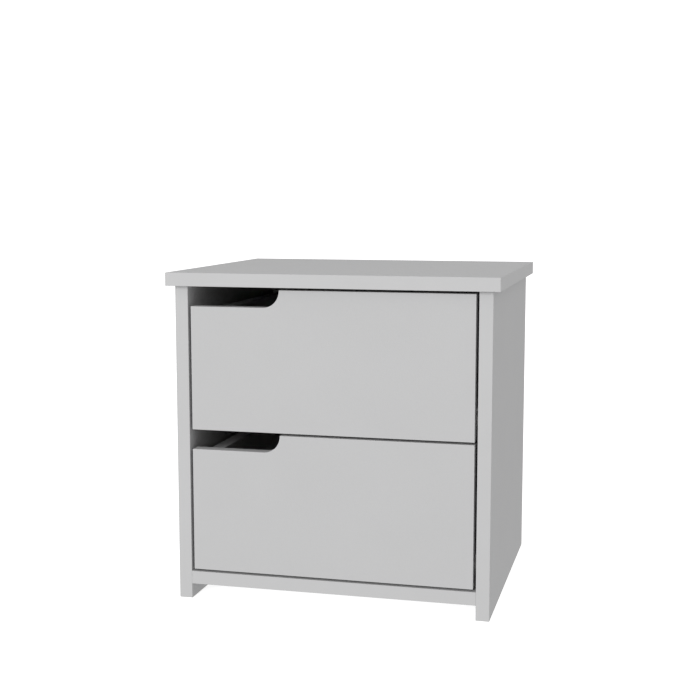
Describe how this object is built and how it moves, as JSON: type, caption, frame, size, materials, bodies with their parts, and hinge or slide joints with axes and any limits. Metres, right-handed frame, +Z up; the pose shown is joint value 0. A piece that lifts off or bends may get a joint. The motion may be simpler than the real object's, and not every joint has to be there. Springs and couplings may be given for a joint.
{
  "type": "nightstand with drawers",
  "caption": "Low light-grey bedside cabinet with two handle-less drawers: flush fronts with a finger cut-out at the upper left, roller runners, overhanging top, side panels down to the floor.",
  "frame": {"origin": "on the floor under the middle of the top panel", "axes": "+X to the right of someone facing the drawers, -Y towards them (the way the drawers open), +Z up"},
  "size_m": [0.4, 0.35, 0.4],
  "materials": {
    "melamine_board": "light grey melamine-faced particle board, satin, raw core on cut edges",
    "edge_band": "light grey plastic edge band, satin",
    "hardboard": "thin fibreboard, painted light grey on one side, raw brown on the other and at its edges",
    "runner_steel": "white powder-coated folded steel",
    "zinc_steel": "zinc-plated steel",
    "nylon_roller": "moulded off-white nylon",
    "beech_dowel": "unfinished beech"
  },
  "bodies": {
    "cabinet": {"back_panel": "hardboard", "back_panel_nails": "zinc_steel", "bottom_panel": "melamine_board", "bottom_panel_edge_band": "edge_band", "cabinet_roller_pins": "zinc_steel", "cabinet_runner_screws": "zinc_steel", "left_side_edge_band": "edge_band", "left_side_panel": "melamine_board", "lower_left_cabinet_runner": "runner_steel", "lower_right_cabinet_runner": "runner_steel", "panel_cam_bolts": "zinc_steel", "panel_cam_locks": "zinc_steel", "panel_dowels": "beech_dowel", "right_side_edge_band": "edge_band", "right_side_panel": "melamine_board", "top_panel": "melamine_board", "top_panel_edge_band": "edge_band", "upper_left_cabinet_runner": "runner_steel", "upper_right_cabinet_runner": "runner_steel"},
    "upper_drawer": {"upper_drawer_back": "melamine_board", "upper_drawer_back_screws": "zinc_steel", "upper_drawer_bottom": "hardboard", "upper_drawer_bottom_nails": "zinc_steel", "upper_drawer_box_edge_bands": "edge_band", "upper_drawer_cam_bolts": "zinc_steel", "upper_drawer_cam_locks": "zinc_steel", "upper_drawer_dowels": "beech_dowel", "upper_drawer_front": "melamine_board", "upper_drawer_front_edge_band": "edge_band", "upper_drawer_left_side": "melamine_board", "upper_drawer_right_side": "melamine_board", "upper_drawer_roller_pins": "zinc_steel", "upper_drawer_runner_screws": "zinc_steel", "upper_left_drawer_runner": "runner_steel", "upper_right_drawer_runner": "runner_steel"},
    "lower_drawer": {"lower_drawer_back": "melamine_board", "lower_drawer_back_screws": "zinc_steel", "lower_drawer_bottom": "hardboard", "lower_drawer_bottom_nails": "zinc_steel", "lower_drawer_box_edge_bands": "edge_band", "lower_drawer_cam_bolts": "zinc_steel", "lower_drawer_cam_locks": "zinc_steel", "lower_drawer_dowels": "beech_dowel", "lower_drawer_front": "melamine_board", "lower_drawer_front_edge_band": "edge_band", "lower_drawer_left_side": "melamine_board", "lower_drawer_right_side": "melamine_board", "lower_drawer_roller_pins": "zinc_steel", "lower_drawer_runner_screws": "zinc_steel", "lower_left_drawer_runner": "runner_steel", "lower_right_drawer_runner": "runner_steel"},
    "upper_left_front_roller": {"upper_left_front_roller": "nylon_roller"},
    "upper_left_rear_roller": {"upper_left_rear_roller": "nylon_roller"},
    "upper_right_front_roller": {"upper_right_front_roller": "nylon_roller"},
    "upper_right_rear_roller": {"upper_right_rear_roller": "nylon_roller"},
    "lower_left_front_roller": {"lower_left_front_roller": "nylon_roller"},
    "lower_left_rear_roller": {"lower_left_rear_roller": "nylon_roller"},
    "lower_right_front_roller": {"lower_right_front_roller": "nylon_roller"},
    "lower_right_rear_roller": {"lower_right_rear_roller": "nylon_roller"}
  },
  "joints": [
    {"name": "upper_drawer_slide", "type": "slide", "parent": "cabinet", "child": "upper_drawer", "axis": [0, -1, 0], "range_m": [0, 0.225]},
    {"name": "lower_drawer_slide", "type": "slide", "parent": "cabinet", "child": "lower_drawer", "axis": [0, -1, 0], "range_m": [0, 0.225]},
    {"name": "upper_left_front_roller_spin", "type": "hinge", "parent": "cabinet", "child": "upper_left_front_roller", "pos_m": [-0.16975, -0.136, 0.23275], "axis": [1, 0, 0], "continuous": true},
    {"name": "upper_left_rear_roller_spin", "type": "hinge", "parent": "upper_drawer", "child": "upper_left_rear_roller", "pos_m": [-0.16775, 0.136, 0.23275], "axis": [1, 0, 0], "continuous": true},
    {"name": "upper_right_front_roller_spin", "type": "hinge", "parent": "cabinet", "child": "upper_right_front_roller", "pos_m": [0.16975, -0.136, 0.23275], "axis": [1, 0, 0], "continuous": true},
    {"name": "upper_right_rear_roller_spin", "type": "hinge", "parent": "upper_drawer", "child": "upper_right_rear_roller", "pos_m": [0.16775, 0.136, 0.23275], "axis": [1, 0, 0], "continuous": true},
    {"name": "lower_left_front_roller_spin", "type": "hinge", "parent": "cabinet", "child": "lower_left_front_roller", "pos_m": [-0.16975, -0.136, 0.0595], "axis": [1, 0, 0], "continuous": true},
    {"name": "lower_left_rear_roller_spin", "type": "hinge", "parent": "lower_drawer", "child": "lower_left_rear_roller", "pos_m": [-0.16775, 0.136, 0.0595], "axis": [1, 0, 0], "continuous": true},
    {"name": "lower_right_front_roller_spin", "type": "hinge", "parent": "cabinet", "child": "lower_right_front_roller", "pos_m": [0.16975, -0.136, 0.0595], "axis": [1, 0, 0], "continuous": true},
    {"name": "lower_right_rear_roller_spin", "type": "hinge", "parent": "lower_drawer", "child": "lower_right_rear_roller", "pos_m": [0.16775, 0.136, 0.0595], "axis": [1, 0, 0], "continuous": true}
  ],
  "couplings": [
    {"joint": "upper_left_front_roller_spin", "follows": "upper_drawer_slide", "rad_per_m": 90.909},
    {"joint": "upper_left_rear_roller_spin", "follows": "upper_drawer_slide", "rad_per_m": 90.909},
    {"joint": "upper_right_front_roller_spin", "follows": "upper_drawer_slide", "rad_per_m": 90.909},
    {"joint": "upper_right_rear_roller_spin", "follows": "upper_drawer_slide", "rad_per_m": 90.909},
    {"joint": "lower_left_front_roller_spin", "follows": "lower_drawer_slide", "rad_per_m": 90.909},
    {"joint": "lower_left_rear_roller_spin", "follows": "lower_drawer_slide", "rad_per_m": 90.909},
    {"joint": "lower_right_front_roller_spin", "follows": "lower_drawer_slide", "rad_per_m": 90.909},
    {"joint": "lower_right_rear_roller_spin", "follows": "lower_drawer_slide", "rad_per_m": 90.909}
  ]
}
